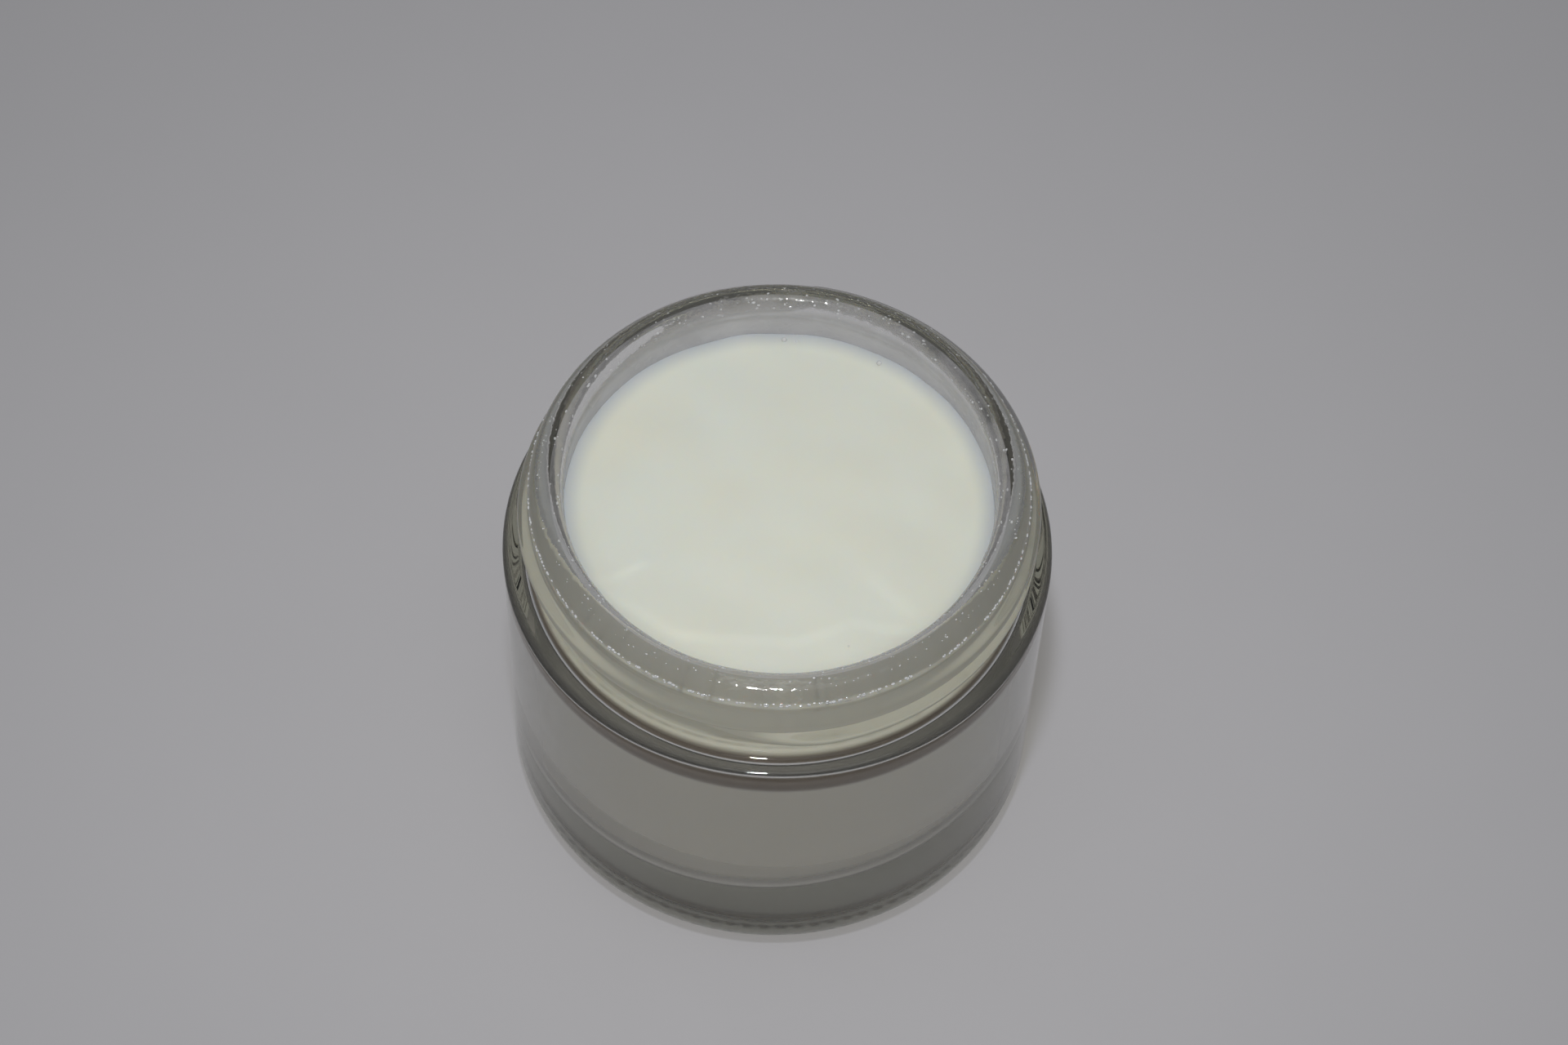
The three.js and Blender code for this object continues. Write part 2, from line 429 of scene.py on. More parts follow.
def smear_surface():
    """A thin smear of cream on the bore, from the cream's edge up onto the inner lip.

    Its section is a straight line up the bore and an arc round the lip, thickened both ways
    along the glass's normal, and it is closed round the section and round Z.
    """
    theta = around()
    low = FILL_EDGE_Z + creep_height(theta) - SMEAR_OVERLAP
    lip_z = JAR_HEIGHT - LIP_INNER_ROUND
    share = np.linspace(0, 1, SMEAR_ROWS)[:, None]
    turn = np.radians(np.linspace(0, SMEAR_END, SMEAR_ROWS)[1:])[:, None] * np.ones(COLUMNS)
    wall_z = low[None, :] + (lip_z - low[None, :]) * share
    r = np.concatenate([np.full(wall_z.shape, BORE_R), BORE_R + LIP_INNER_ROUND * (1 - np.cos(turn))])
    z = np.concatenate([wall_z, lip_z + LIP_INNER_ROUND * np.sin(turn)])
    lean = np.concatenate([np.zeros(wall_z.shape), turn])
    taper = np.sin(np.linspace(0.02, math.pi - 0.02, len(r)))[:, None] ** 0.4
    thick = taper * (1 + 0.25 * ripples(theta, 5, 60, 15))[None, :]
    under = np.stack([r + SMEAR_UNDER * taper * np.cos(lean), z - SMEAR_UNDER * taper * np.sin(lean)])
    over = np.stack([r - SMEAR_OVER * thick * np.cos(lean), z + SMEAR_OVER * thick * np.sin(lean)])
    r, z = np.concatenate([under, over[:, ::-1]], axis=1)
    points = np.stack([r * np.cos(theta), r * np.sin(theta), z], -1).reshape(-1, 3)
    ring = np.arange(r.size).reshape(r.shape)
    turned, above = np.roll(ring, -1, axis=1), np.roll(ring, -1, axis=0)
    faces = np.stack([ring, turned, np.roll(above, -1, axis=1), above], -1).reshape(-1, 4)
    return points, faces.tolist()


def lip_point(across):
    """Section of the rounded lip: 0 is the outer tangent, 1 the apex, 2 the inner tangent."""
    outer = np.radians(90 * np.minimum(across, 1))
    inner = np.radians(90 * np.clip(across - 1, 0, 1))
    on_outer = across <= 1
    r = np.where(on_outer, NECK_R - LIP_OUTER_ROUND * (1 - np.cos(outer)),
                 BORE_R + LIP_INNER_ROUND * (1 - np.sin(inner)))
    z = np.where(on_outer, JAR_HEIGHT - LIP_OUTER_ROUND * (1 - np.sin(outer)),
                 JAR_HEIGHT - LIP_INNER_ROUND * (1 - np.cos(inner)))
    return r, z, np.where(on_outer, outer, inner + math.pi / 2)


def bead_places():
    """Azimuth, place across the lip, facing round Z, tilt and size of each bead, row by row."""
    random = np.random.default_rng(21)
    rows = []
    for across, scatter, lean, lean_scatter, low, high, count in BEAD_ROWS:
        turn = random.uniform(0, TAU, count)
        place = across + scatter * random.uniform(-1, 1, count)
        facing = turn + np.radians(lean_scatter) * random.normal(0, 1, count)
        tilt = lip_point(place)[2] + np.radians(lean + lean_scatter * random.normal(0, 1, count))
        rows.append(np.column_stack([turn, place, facing, tilt, random.uniform(low, high, count)]))
    return np.concatenate(rows)


def ellipsoids(middle, along, over, out):
    """Points and faces of closed ellipsoids from their middles and their three half axes."""
    down = np.radians(np.linspace(0, 180, BEAD_RINGS + 2))[1:-1]
    spin = np.arange(BEAD_SIDES) * TAU / BEAD_SIDES
    u = np.concatenate([[0], (np.sin(down)[:, None] * np.cos(spin)).ravel(), [0]])
    v = np.concatenate([[0], (np.sin(down)[:, None] * np.sin(spin)).ravel(), [0]])
    w = np.concatenate([[1], np.repeat(np.cos(down), BEAD_SIDES), [-1]])
    shape = (u[None, :, None] * along[:, None, :] + v[None, :, None] * over[:, None, :]
             + w[None, :, None] * out[:, None, :])
    points = (middle[:, None, :] + shape).reshape(-1, 3)
    one = turned_faces(BEAD_RINGS, BEAD_SIDES)
    each = 2 + BEAD_RINGS * BEAD_SIDES
    return points, [[corner + each * k for corner in face[::-1]]
                    for k in range(len(middle)) for face in one]


def bubble_surface():
    """Small round bubbles sitting on the cream's crown near the bore."""
    x, y, size = (np.array(BUBBLES) * MM).T
    r = np.hypot(x, y)
    z = FILL_EDGE_Z + FILL_CROWN * (1 - (r / BORE_R) ** 2)
    z += creep_level(y / r) * np.exp(-((BORE_R - r) / CREEP_REACH) ** 2)
    axes = size[:, None, None] * np.eye(3)
    return ellipsoids(np.column_stack([x, y, z]), axes[:, 0], axes[:, 1], axes[:, 2])


def bead_surface():
    """Points and faces of all the beads: flat ellipsoids along the lip, half set into it.

    Each ellipsoid's half axes are size * stretch, size, and size / BEAD_FLATNESS outwards.
    """
    turn, across, facing, tilt, size = bead_places().T
    size = size * MM
    r, z, _ = lip_point(across)
    out = np.column_stack([np.cos(tilt) * np.cos(facing), np.cos(tilt) * np.sin(facing), np.sin(tilt)])
    along = np.column_stack([-np.sin(facing), np.cos(facing), np.zeros(turn.size)])
    over = np.cross(out, along)
    height = np.minimum(z, JAR_HEIGHT - BEAD_HEADROOM)
    middle = np.column_stack([r * np.cos(turn), r * np.sin(turn), height])
    stretch = np.random.default_rng(22).uniform(0.9, 1.9, turn.size)
    return ellipsoids(middle, along * (stretch * size)[:, None], over * size[:, None],
                      out * size[:, None] / BEAD_FLATNESS)


# ---------------------------------------------------------------- materials

GLASS_IOR = 1.52
WALL_ROUGHNESS = 0.22           # of the cavity's wall, as the plunger leaves it
CORNER_ROUGHNESS = 0.20         # added to it near the cavity's corner
SHEET_COLOUR = (0.86, 0.855, 0.84, 1)   # the glass as shadow and diffuse rays see it


def new_group(name, inputs, outputs):
    """An empty shader node group with named float, vector and colour sockets."""
    group = bpy.data.node_groups.new(name, "ShaderNodeTree")
    kinds = {"float": "NodeSocketFloat", "vector": "NodeSocketVector", "colour": "NodeSocketColor"}
    for label, kind, value in inputs:
        socket = group.interface.new_socket(label, in_out="INPUT", socket_type=kinds[kind])
        if value is not None:
            socket.default_value = value
    for label, kind in outputs:
        group.interface.new_socket(label, in_out="OUTPUT", socket_type=kinds[kind])
    return group, group.nodes.new("NodeGroupInput"), group.nodes.new("NodeGroupOutput")


def node(tree, kind, inputs=None, **settings):
    """Adds a node with its settings, and its inputs given as values or as other sockets."""
    made = tree.nodes.new(kind)
    for key, value in settings.items():
        setattr(made, key, value)
    for key, value in (inputs or {}).items():
        if isinstance(value, bpy.types.NodeSocket):
            tree.links.new(value, made.inputs[key])
        else:
            made.inputs[key].default_value = value
    return made


def mottle_group():
    """Two colours mixed by soft noise, with the noise itself as a mask."""
    group, given, out = new_group(
        "soft_mottle",
        [("Vector", "vector", None), ("Scale", "float", 100.0), ("Contrast", "float", 1.0),
         ("First", "colour", (1, 1, 1, 1)), ("Second", "colour", (0.8, 0.8, 0.8, 1))],
        [("Color", "colour"), ("Mask", "float")])
    noise = node(group, "ShaderNodeTexNoise",
                 {"Vector": given.outputs["Vector"], "Scale": given.outputs["Scale"],
                  "Detail": 3.0, "Roughness": 0.55})
    centred = node(group, "ShaderNodeMath", {0: noise.outputs["Fac"], 1: 0.5}, operation="SUBTRACT")
    spread = node(group, "ShaderNodeMath",
                  {0: centred.outputs[0], 1: given.outputs["Contrast"], 2: 0.5},
                  operation="MULTIPLY_ADD", use_clamp=True)
    mix = node(group, "ShaderNodeMix", data_type="RGBA")
    group.links.new(spread.outputs[0], mix.inputs["Factor"])
    group.links.new(given.outputs["First"], mix.inputs[6])
    group.links.new(given.outputs["Second"], mix.inputs[7])
    group.links.new(mix.outputs[2], out.inputs["Color"])
    group.links.new(spread.outputs[0], out.inputs["Mask"])
    return group


def fine_relief_group():
    """Height of a fine uneven skin: a coarse and a fine noise added together."""
    group, given, out = new_group(
        "fine_relief",
        [("Vector", "vector", None), ("Coarse Scale", "float", 300.0), ("Fine Scale", "float", 1500.0),
         ("Fine Share", "float", 0.3)],
        [("Height", "float")])
    coarse = node(group, "ShaderNodeTexNoise",
                  {"Vector": given.outputs["Vector"], "Scale": given.outputs["Coarse Scale"],
                   "Detail": 1.0})
    fine = node(group, "ShaderNodeTexNoise",
                {"Vector": given.outputs["Vector"], "Scale": given.outputs["Fine Scale"],
                 "Detail": 2.0})
    total = node(group, "ShaderNodeMath",
                 {0: fine.outputs["Fac"], 1: given.outputs["Fine Share"], 2: coarse.outputs["Fac"]},
                 operation="MULTIPLY_ADD")
    group.links.new(total.outputs[0], out.inputs["Height"])
    return group


def band_mask_group():
    """1 between two heights of the vector's Z and 0 outside, with a soft edge."""
    group, given, out = new_group(
        "height_band",
        [("Vector", "vector", None), ("Low", "float", 0.0), ("High", "float", 1.0),
         ("Softness", "float", 0.001)],
        [("Mask", "float")])
    split = node(group, "ShaderNodeSeparateXYZ", {0: given.outputs["Vector"]})
    rise = node(group, "ShaderNodeMath", {0: split.outputs["Z"], 1: given.outputs["Low"]},
                operation="SUBTRACT")
    fall = node(group, "ShaderNodeMath", {0: given.outputs["High"], 1: split.outputs["Z"]},
                operation="SUBTRACT")
    least = node(group, "ShaderNodeMath", {0: rise.outputs[0], 1: fall.outputs[0]},
                 operation="MINIMUM")
    share = node(group, "ShaderNodeMath", {0: least.outputs[0], 1: given.outputs["Softness"]},
                 operation="DIVIDE", use_clamp=True)
    group.links.new(share.outputs[0], out.inputs["Mask"])
    return group


def ring_mask_group():
    """0 inside a radius about Z, 1 outside a larger one, and a smooth step between them."""
    group, given, out = new_group(
        "ring_mask",
        [("Vector", "vector", None), ("Inner", "float", 0.0), ("Outer", "float", 1.0)],
        [("Mask", "float")])
    flat = node(group, "ShaderNodeVectorMath", {0: given.outputs["Vector"], 1: (1, 1, 0)},
                operation="MULTIPLY")
    radius = node(group, "ShaderNodeVectorMath", {0: flat.outputs["Vector"]}, operation="LENGTH")
    step = node(group, "ShaderNodeMapRange",
                {"Value": radius.outputs["Value"], "From Min": given.outputs["Inner"],
                 "From Max": given.outputs["Outer"]}, interpolation_type="SMOOTHSTEP")
    group.links.new(step.outputs["Result"], out.inputs["Mask"])
    return group


def use_group(tree, name, maker, inputs):
    """Places a node group in a material, and builds it the first time."""
    placed = tree.nodes.new("ShaderNodeGroup")
    placed.node_tree = bpy.data.node_groups.get(name) or maker()
    for key, value in inputs.items():
        if isinstance(value, bpy.types.NodeSocket):
            tree.links.new(value, placed.inputs[key])
        else:
            placed.inputs[key].default_value = value
    return placed


def new_material(name):
    """A material with an empty node tree, its output, and the Object coordinates."""
    material = bpy.data.materials.new(name)
    material.use_nodes = True
    tree = material.node_tree
    tree.nodes.clear()
    out = tree.nodes.new("ShaderNodeOutputMaterial")
    place = tree.nodes.new("ShaderNodeTexCoord").outputs["Object"]
    return material, tree, out, place


def glass_material(settings):
    """Clear pressed glass: smooth and faintly wavy, uneven and filmed at the lip."""
    material, tree, out, place = new_material("clear_pressed_glass")
    lip = use_group(tree, "height_band", band_mask_group,
                    {"Vector": place, "Low": 49.3 * MM, "High": 60 * MM, "Softness": 0.8 * MM})
    film = use_group(tree, "soft_mottle", mottle_group,
                     {"Vector": place, "Scale": 220.0, "Contrast": 2.5,
                      "First": (0.995, 1.0, 0.995, 1), "Second": (0.97, 0.98, 0.975, 1)})
    haze = node(tree, "ShaderNodeMath", {0: film.outputs["Mask"], 1: lip.outputs["Mask"]},
                operation="MULTIPLY")
    rough = node(tree, "ShaderNodeMath", {0: haze.outputs[0], 1: 0.10, 2: settings.glass_roughness},
                 operation="MULTIPLY_ADD")
    under = use_group(tree, "height_band", band_mask_group,
                      {"Vector": place, "Low": FLOOR_Z - 3 * MM,
                       "High": BORE_END_Z + 0.1 * MM, "Softness": 0.4 * MM})
    outside = use_group(tree, "ring_mask", ring_mask_group,
                        {"Vector": place, "Inner": CAVITY_R + 0.1 * MM, "Outer": CAVITY_R + 0.3 * MM})
    inner = node(tree, "ShaderNodeMath", {0: under.outputs["Mask"], 1: outside.outputs["Mask"]},
                 operation="SUBTRACT", use_clamp=True)
    corner = use_group(tree, "height_band", band_mask_group,
                       {"Vector": place, "Low": FLOOR_Z - 3 * MM,
                        "High": FLOOR_Z + CAVITY_ROUND + 3 * MM, "Softness": 2 * MM})
    clouded = node(tree, "ShaderNodeMath",
                   {0: corner.outputs["Mask"], 1: CORNER_ROUGHNESS, 2: WALL_ROUGHNESS},
                   operation="MULTIPLY_ADD")
    rough = node(tree, "ShaderNodeMath",
                 {0: inner.outputs[0], 1: clouded.outputs[0], 2: rough.outputs[0]},
                 operation="MULTIPLY_ADD")
    skin = use_group(tree, "fine_relief", fine_relief_group,
                     {"Vector": place, "Coarse Scale": 900.0, "Fine Scale": 2600.0, "Fine Share": 0.5})
    height = node(tree, "ShaderNodeMath", {0: skin.outputs["Height"], 1: lip.outputs["Mask"]},
                  operation="MULTIPLY")
    bump = node(tree, "ShaderNodeBump",
                {"Strength": 0.6, "Distance": 0.05 * MM, "Height": height.outputs[0]})
    glass = node(tree, "ShaderNodeBsdfPrincipled",
                 {"Base Color": film.outputs["Color"], "Roughness": rough.outputs[0],
                  "IOR": GLASS_IOR,
                  "Transmission Weight": 1.0, "Normal": bump.outputs["Normal"]})
    clear = node(tree, "ShaderNodeBsdfTransparent", {"Color": SHEET_COLOUR})
    path = tree.nodes.new("ShaderNodeLightPath")
    either = node(tree, "ShaderNodeMath",
                  {0: path.outputs["Is Shadow Ray"], 1: path.outputs["Is Diffuse Ray"]},
                  operation="MAXIMUM")
    mix = node(tree, "ShaderNodeMixShader", {0: either.outputs[0]})
    tree.links.new(glass.outputs[0], mix.inputs[1])
    tree.links.new(clear.outputs[0], mix.inputs[2])
    tree.links.new(mix.outputs[0], out.inputs["Surface"])
    depth = node(tree, "ShaderNodeVolumeAbsorption",
                 {"Color": (*settings.glass_tint, 1), "Density": settings.glass_density})
    tree.links.new(depth.outputs[0], out.inputs["Volume"])
    return material


def cream_material(name, settings, gloss, painted_shade_layers):
    """Off-white cream, lit through its thickness, with painted shade in bands: darker copies of its
    colour mixed in by place.

    gloss is 0 where it meets the glass. Each layer is a painted shade colour, then either two radii
    between which it comes in, or a lower and an upper height and the softness of their edges.
    """
    material, tree, out, place = new_material(name)
    mottle = use_group(tree, "soft_mottle", mottle_group,
                       {"Vector": place, "Scale": 90.0, "Contrast": 1.6,
                        "First": (*settings.cream_warm, 1), "Second": (*settings.cream_cool, 1)})
    colour = mottle.outputs["Color"]
    for tone, *bounds in painted_shade_layers:
        if len(bounds) == 2:
            mask = use_group(tree, "ring_mask", ring_mask_group,
                             {"Vector": place, "Inner": bounds[0], "Outer": bounds[1]})
        else:
            mask = use_group(tree, "height_band", band_mask_group,
                             {"Vector": place, "Low": bounds[0], "High": bounds[1],
                              "Softness": bounds[2]})
        mix = node(tree, "ShaderNodeMix", {6: colour, 7: (*tone, 1)}, data_type="RGBA")
        tree.links.new(mask.outputs["Mask"], mix.inputs["Factor"])
        colour = mix.outputs[2]
    skin = use_group(tree, "fine_relief", fine_relief_group,
                     {"Vector": place, "Coarse Scale": 350.0, "Fine Scale": 1400.0, "Fine Share": 0.25})
    bump = node(tree, "ShaderNodeBump",
                {"Strength": 0.25, "Distance": 0.10 * MM, "Height": skin.outputs["Height"]})
    rough = node(tree, "ShaderNodeMath", {0: mottle.outputs["Mask"], 1: 0.12, 2: 0.36},
                 operation="MULTIPLY_ADD")
    body = node(tree, "ShaderNodeBsdfPrincipled",
                {"Base Color": colour, "Roughness": rough.outputs[0],
                 "Specular IOR Level": gloss, "Subsurface Weight": 1.0,
                 "Subsurface Radius": (1.0, 0.85, 0.65), "Subsurface Scale": settings.cream_depth,
                 "Normal": bump.outputs["Normal"]})
    tree.links.new(body.outputs[0], out.inputs["Surface"])
    return material


def smear_material(settings):
    """A see-through smear of cream, dense at the cream's edge and thin on the lip."""
    material, tree, out, place = new_material("cream_smear")
    film = use_group(tree, "soft_mottle", mottle_group,
                     {"Vector": place, "Scale": 260.0, "Contrast": 2.2,
                      "First": (*settings.smear_colour, 1), "Second": (0.60, 0.59, 0.61, 1)})
    dense = use_group(tree, "height_band", band_mask_group,
                      {"Vector": place, "Low": 40 * MM, "High": 51.3 * MM, "Softness": 2.6 * MM})
    thin = node(tree, "ShaderNodeMath", {0: film.outputs["Mask"], 1: 0.18, 2: 0.04},
                operation="MULTIPLY_ADD")
    cover = node(tree, "ShaderNodeMath", {0: dense.outputs["Mask"], 1: 0.6, 2: thin.outputs[0]},
                 operation="MULTIPLY_ADD", use_clamp=True)
    skin = use_group(tree, "fine_relief", fine_relief_group,
                     {"Vector": place, "Coarse Scale": 1100.0, "Fine Scale": 2600.0,
                      "Fine Share": 0.4})
    bump = node(tree, "ShaderNodeBump",
                {"Strength": 0.6, "Distance": 0.08 * MM, "Height": skin.outputs["Height"]})
    rough = node(tree, "ShaderNodeMath", {0: film.outputs["Mask"], 1: 0.2, 2: 0.15},
                 operation="MULTIPLY_ADD")
    smear = node(tree, "ShaderNodeBsdfPrincipled",
                 {"Base Color": film.outputs["Color"], "Roughness": rough.outputs[0],
                  "Specular IOR Level": 0.3, "Alpha": cover.outputs[0],
                  "Normal": bump.outputs["Normal"]})
    tree.links.new(smear.outputs[0], out.inputs["Surface"])
    return material


def bead_material():
    """Milky beads with a keen gloss; their near-white colour is partly the white of cream residue and
    partly a painted glint that shows them as bright specks.
    """
    material, tree, out, place = new_material("wet_beads_painted_glint")
    film = use_group(tree, "soft_mottle", mottle_group,
                     {"Vector": place, "Scale": 900.0, "Contrast": 2.0,
                      "First": (0.93, 0.94, 0.95, 1), "Second": (0.78, 0.79, 0.79, 1)})
    rough = node(tree, "ShaderNodeMath", {0: film.outputs["Mask"], 1: 0.08, 2: 0.04},
                 operation="MULTIPLY_ADD")
    bead = node(tree, "ShaderNodeBsdfPrincipled",
                {"Base Color": film.outputs["Color"], "Roughness": rough.outputs[0],
                 "Specular IOR Level": 1.0, "Alpha": 0.7})
    tree.links.new(bead.outputs[0], out.inputs["Surface"])
    return material


def floor_material(settings):
    """A pale matt floor with a faint unevenness."""
    material, tree, out, place = new_material("pale_floor")
    pale = settings.floor_colour
    mottle = use_group(tree, "soft_mottle", mottle_group,
                       {"Vector": place, "Scale": 40.0, "Contrast": 1.0, "First": (*pale, 1),
                        "Second": (pale[0] * 0.97, pale[1] * 0.97, pale[2] * 0.97, 1)})
    cover = node(tree, "ShaderNodeBsdfPrincipled",
                 {"Base Color": mottle.outputs["Color"], "Roughness": 0.9,
                  "Specular IOR Level": 0.1})
    tree.links.new(cover.outputs[0], out.inputs["Surface"])
    return material


# ---------------------------------------------------------------- settings

class CreamJarSettings(bpy.types.PropertyGroup):
    """Sizes and colours of the jar, its cream and its studio."""

    glass_tint: bpy.props.FloatVectorProperty(
        name="Glass tint", description="Colour that the thick glass takes on with depth",
        default=(0.655, 0.625, 0.42), subtype="COLOR", min=0, max=1)
    glass_density: bpy.props.FloatProperty(
        name="Glass density", description="How fast the tint builds up with depth, per metre",
        default=11.0, min=0)
    glass_roughness: bpy.props.FloatProperty(
        name="Glass roughness", description="Roughness of the clean fire-polished glass",
        default=0.0, min=0, max=1, subtype="FACTOR")
    cream_warm: bpy.props.FloatVectorProperty(
        name="Cream, warm", description="Colour of the cream where it is thick",
        default=(0.80, 0.80, 0.69), subtype="COLOR", min=0, max=1)
    cream_cool: bpy.props.FloatVectorProperty(
        name="Cream, cool", description="Colour of the cream's cooler patches",
        default=(0.79, 0.82, 0.75), subtype="COLOR", min=0, max=1)
    # Painted shade: a darker, bluer copy of the cream's colour over the top's last few millimetres at
    # the bore, standing in for light lost through the thin edge.
    cream_edge_painted_shade: bpy.props.FloatVectorProperty(
        name="Cream, thin edge", description="Colour where the cream thins out against the bore",
        default=(0.55, 0.58, 0.60), subtype="COLOR", min=0, max=1)
    # Painted shade: a darker copy of the cream's colour for its side, where it is seen through the
    # thick wall.
    cream_side_painted_shade: bpy.props.FloatVectorProperty(
        name="Cream, side",
        description="Cream colour set by eye where it is seen through the thick wall",
        default=(0.60, 0.575, 0.50), subtype="COLOR", min=0, max=1)
    # Painted shade: a copy of the cream's colour, lighter than the side's and darker than the top's,
    # for the cream seen through the neck.
    cream_neck_painted_shade: bpy.props.FloatVectorProperty(
        name="Cream, neck", description="Cream colour set by eye where it is seen through the neck",
        default=(0.76, 0.75, 0.66), subtype="COLOR", min=0, max=1)
    cream_shade: bpy.props.FloatVectorProperty(
        name="Cream, shaded",
        description="Stand-in tone for the dark band that refraction puts under the shoulder",
        default=(0.17, 0.14, 0.11), subtype="COLOR", min=0, max=1)
    smear_colour: bpy.props.FloatVectorProperty(
        name="Cream, smear", description="Colour of the smear of cream on the bore",
        default=(0.76, 0.75, 0.77), subtype="COLOR", min=0, max=1)
    cream_depth: bpy.props.FloatProperty(
        name="Cream depth", description="How far light spreads inside the cream",
        default=0.5 * MM, min=0, unit="LENGTH", precision=5)
    floor_colour: bpy.props.FloatVectorProperty(
        name="Floor", description="Colour of the floor",
        default=(0.60, 0.59, 0.605), subtype="COLOR", min=0, max=1)
    lens: bpy.props.FloatProperty(
        name="Lens", description="Focal length on a 36 mm wide sensor, in millimetres",
        default=84.0, min=10)
    camera_distance: bpy.props.FloatProperty(
        name="Camera distance", description="From the camera to the point it looks at",
        default=0.3962, min=0.05, unit="LENGTH")
    camera_pitch: bpy.props.FloatProperty(
        name="Camera pitch", description="How steeply the camera looks down",
        default=math.radians(57.0), subtype="ANGLE")
    camera_roll: bpy.props.FloatProperty(
        name="Camera roll", description="Turn of the camera about its own line of sight",
        default=math.radians(2.47), subtype="ANGLE")
    flash_power: bpy.props.FloatProperty(
        name="Flash power", description="Power of the small light beside the camera, in watts",
        default=0.135, min=0)
    fill_power: bpy.props.FloatProperty(
        name="Softbox power", description="Power of the large overhead softbox, in watts",
        default=0.25, min=0)


# ---------------------------------------------------------------- operators

def finish_piece(piece, slot, *replaced):
    """Rides the piece on the jar's one body and hides the imported parts it replaces; its slot is not
    used.
    """
    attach(piece, "root")
    if replaced:
        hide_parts(*replaced)


class CREAMJAR_OT_glass(bpy.types.Operator):
    """Build the pressed glass jar with its thread, lip and stippled base"""

    bl_idname = "creamjar.glass"
    bl_label = "Glass jar"

    def execute(self, context):
        x, y, z = glass_surface()
        piece = turned_object("pressed_glass_jar", x, y, z, PUSH_UP_RISE, FLOOR_Z)
        piece.data.materials.append(glass_material(context.scene.cream_jar))
        finish_piece(piece, "clear_glass", "glass_jar")
        return {"FINISHED"}


class CREAMJAR_OT_cream(bpy.types.Operator):
    """Fill the jar with cream whose top is folded and worked"""

    bl_idname = "creamjar.cream"
    bl_label = "Cream"

    def execute(self, context):
        settings = context.scene.cream_jar
        x, y, z, top_row = cream_surface()
        piece = turned_object("cream_fill", x, y, z, FLOOR_Z + SHRINKAGE, float(z[-1].mean()))
        # The top's edge, the side, the neck and the band under the shoulder get painted shade: darker
        # copies of the cream's colour, set by place.
        piece.data.materials.append(cream_material("cream_top_painted_edge_shade", settings, 0.4, [
            (settings.cream_edge_painted_shade, BORE_R - 2.2 * MM, BORE_R + 0.3 * MM)]))
        piece.data.materials.append(cream_material("cream_on_glass_painted_shade", settings, 0.0, [
            (settings.cream_side_painted_shade, CAVITY_ROUND, 2 * CAVITY_ROUND),
            (settings.cream_neck_painted_shade, CAVITY_START_Z + 1.7 * MM, JAR_HEIGHT, 0.6 * MM),
            (settings.cream_shade, CAVITY_START_Z - 0.9 * MM, CAVITY_START_Z + 2 * MM, 0.6 * MM)]))
        rows = z.shape[0]
        slot = np.zeros((rows - 1, COLUMNS), np.int32)
        slot[:top_row] = 1
        fans = np.concatenate([np.ones(COLUMNS, np.int32), np.zeros(COLUMNS, np.int32)])
        piece.data.polygons.foreach_set("material_index", np.concatenate([slot.ravel(), fans]))
        finish_piece(piece, "cosmetic_cream", "cream")
        return {"FINISHED"}


class CREAMJAR_OT_smear(bpy.types.Operator):
    """Smear an assumed thin film of cream on the bore over the fill"""

    bl_idname = "creamjar.smear"
    bl_label = "Smear in the bore"

    def execute(self, context):
        piece = mesh_object("cream_smear", *smear_surface())
        piece.data.materials.append(smear_material(context.scene.cream_jar))
        finish_piece(piece, "cosmetic_cream")
        return {"FINISHED"}


class CREAMJAR_OT_bubbles(bpy.types.Operator):
    """Set a few small bubbles on the cream"""

    bl_idname = "creamjar.bubbles"
    bl_label = "Bubbles on the cream"

    def execute(self, context):
        piece = mesh_object("cream_bubbles", *bubble_surface())
        # The bubbles share the beads' near-white material, which paints a highlight on them.
        piece.data.materials.append(bpy.data.materials.get("wet_beads_painted_glint") or bead_material())
        finish_piece(piece, "cosmetic_cream")
        return {"FINISHED"}


class CREAMJAR_OT_beads(bpy.types.Operator):
    """Set fine beads along the lip that stand in for its glinting unevenness"""

    bl_idname = "creamjar.beads"
    bl_label = "Beads on the lip"

    def execute(self, context):
        piece = mesh_object("lip_beads", *bead_surface())
        piece.data.materials.append(bead_material())
        finish_piece(piece, "cosmetic_cream")
        return {"FINISHED"}


FLOOR_HALF = 1.5
FLOOR_DROP = 0.02 * MM          # keeps the floor clear of the stipples' tips
WORLD_STRENGTH = 0.24
AIM = Vector((0.6 * MM, 0, 43.2 * MM))


def add_light(name, azimuth, elevation, distance, size, power, colour, spread=180):
    """A round area light aimed above the jar's middle from an azimuth and elevation in degrees."""
    data = bpy.data.lights.new(name, "AREA")
    data.shape = "DISK"
    data.size = size
    data.energy = power
    data.color = colour
    data.spread = math.radians(spread)
    lamp = bpy.data.objects.new(name, data)
    a, e = math.radians(azimuth), math.radians(elevation)
    aim = Vector((0, 0, JAR_HEIGHT * 0.6))
    toward = Vector((math.cos(e) * math.cos(a), math.cos(e) * math.sin(a), math.sin(e)))
    lamp.location = aim + toward * distance
    lamp.rotation_euler = toward.to_track_quat("Z", "Y").to_euler()
    bpy.context.scene.collection.objects.link(lamp)
    return lamp


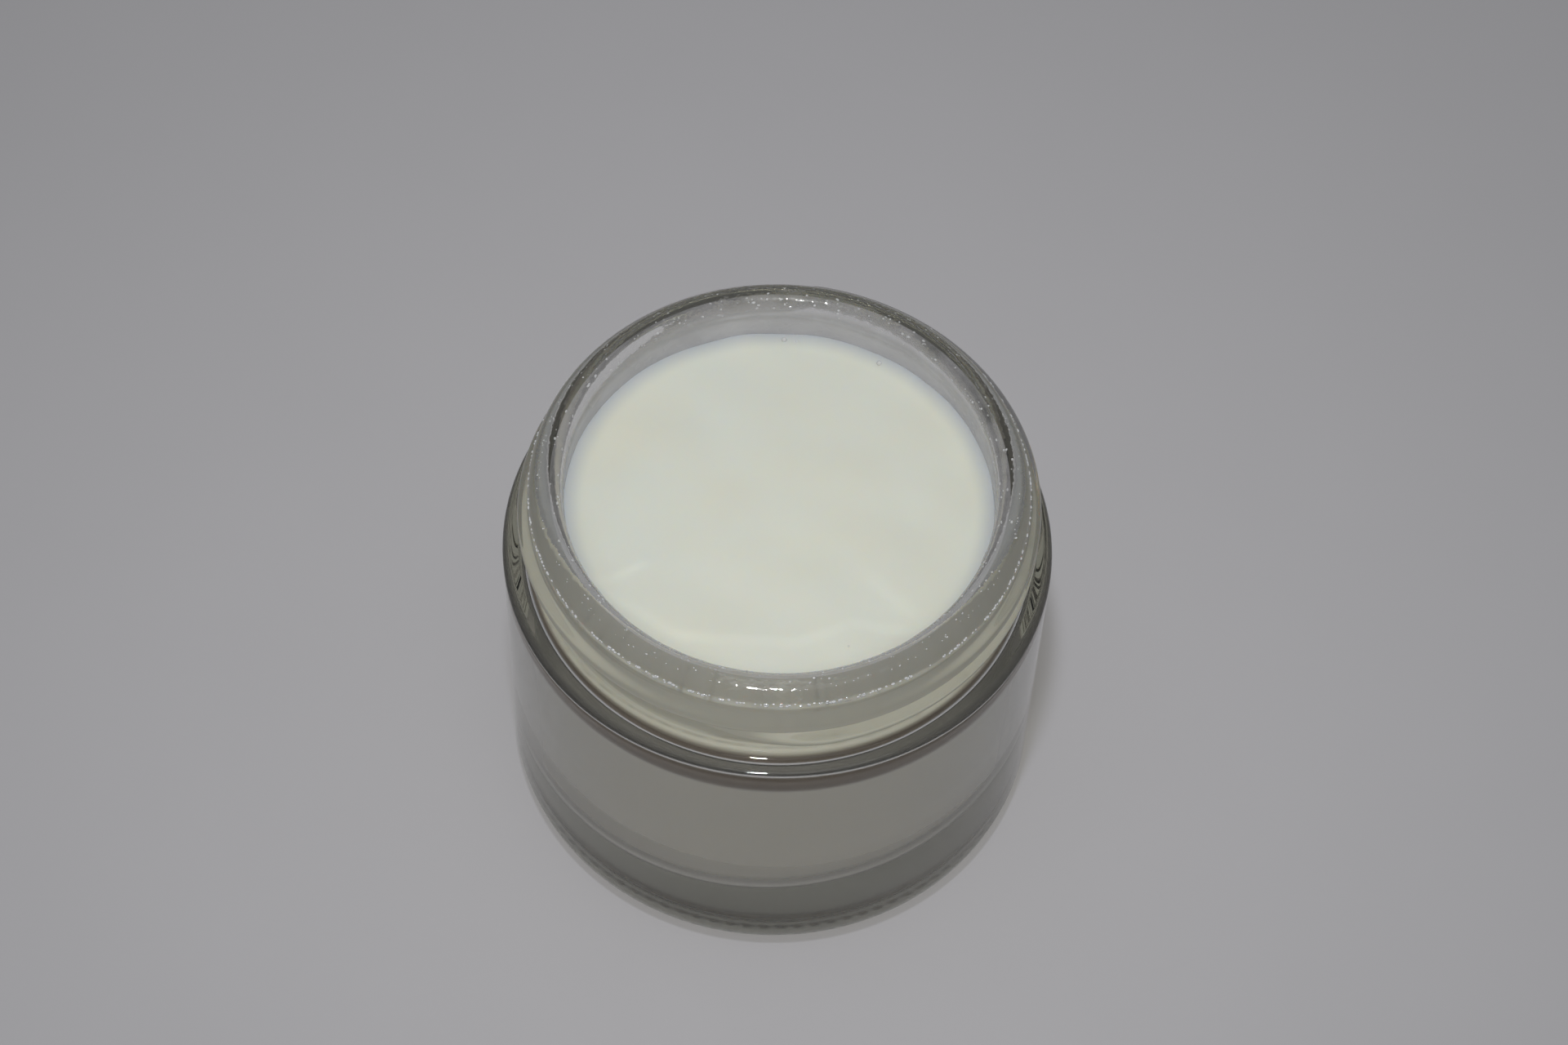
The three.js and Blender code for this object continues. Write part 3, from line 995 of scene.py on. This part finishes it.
class CREAMJAR_OT_stage(bpy.types.Operator):
    """Set the pale floor, the lights and the camera"""

    bl_idname = "creamjar.stage"
    bl_label = "Stage"

    def execute(self, context):
        settings = context.scene.cream_jar
        corners = FLOOR_HALF * np.array([(-1, -1, 0), (1, -1, 0), (1, 1, 0), (-1, 1, 0)])
        floor = mesh_object("floor", corners - [0, 0, FLOOR_DROP], [[0, 1, 2, 3]])
        floor.data.materials.append(floor_material(settings))
        add_light("flash", azimuth=-96, elevation=73, distance=0.42, size=0.025,
                  power=settings.flash_power, colour=(1, 1, 1), spread=76)
        add_light("softbox", azimuth=-60, elevation=78, distance=0.9, size=0.45,
                  power=settings.fill_power, colour=(1, 0.99, 0.98))
        world = bpy.data.worlds.new("dim_room")
        world.use_nodes = True
        background = world.node_tree.nodes["Background"]
        background.inputs["Color"].default_value = (0.95, 0.97, 1.0, 1)
        background.inputs["Strength"].default_value = WORLD_STRENGTH
        context.scene.world = world
        context.scene.view_settings.view_transform = "Standard"
        self.place_camera(context, settings)
        return {"FINISHED"}

    def place_camera(self, context, settings):
        """Aims the camera just beside the jar's axis, a little over the shoulder, and rolls it."""
        data = bpy.data.cameras.new("camera")
        data.sensor_width = 36
        data.lens = settings.lens
        data.clip_start = 0.01
        camera = bpy.data.objects.new("camera", data)
        back = Vector((0, -math.cos(settings.camera_pitch), math.sin(settings.camera_pitch)))
        place = Vector((0, 0, AIM.z)) + back * settings.camera_distance
        look = (AIM - place).to_track_quat("-Z", "Y").to_matrix()
        turn = look @ Matrix.Rotation(settings.camera_roll, 3, "Z")
        camera.matrix_world = Matrix.Translation(place) @ turn.to_4x4()
        context.scene.collection.objects.link(camera)
        context.scene.camera = camera


class CREAMJAR_PT_panel(bpy.types.Panel):
    """Lists what the add-on builds"""

    bl_label = "Cream Jar"
    bl_idname = "CREAMJAR_PT_panel"
    bl_space_type = "VIEW_3D"
    bl_region_type = "UI"
    bl_category = "Cream Jar"

    def draw(self, context):
        layout = self.layout
        settings = context.scene.cream_jar
        for name in settings.bl_rna.properties.keys():
            if name not in {"rna_type", "name"}:
                layout.prop(settings, name)
        for operator in OPERATORS:
            layout.operator(operator.bl_idname)


OPERATORS = (CREAMJAR_OT_stage, CREAMJAR_OT_glass, CREAMJAR_OT_cream, CREAMJAR_OT_smear,
             CREAMJAR_OT_beads, CREAMJAR_OT_bubbles)
CLASSES = (CreamJarSettings, *OPERATORS, CREAMJAR_PT_panel)


def register():
    """Registers the classes and hangs the settings on the scene."""
    for cls in CLASSES:
        bpy.utils.register_class(cls)
    bpy.types.Scene.cream_jar = bpy.props.PointerProperty(type=CreamJarSettings)


def unregister():
    """Removes the settings and the classes."""
    del bpy.types.Scene.cream_jar
    for cls in reversed(CLASSES):
        bpy.utils.unregister_class(cls)


def main():
    """Builds everything in order."""
    register()
    bpy.ops.creamjar.stage()
    bpy.ops.creamjar.glass()
    bpy.ops.creamjar.cream()
    bpy.ops.creamjar.smear()
    bpy.ops.creamjar.beads()
    bpy.ops.creamjar.bubbles()


if __name__ == "__main__":
    main()
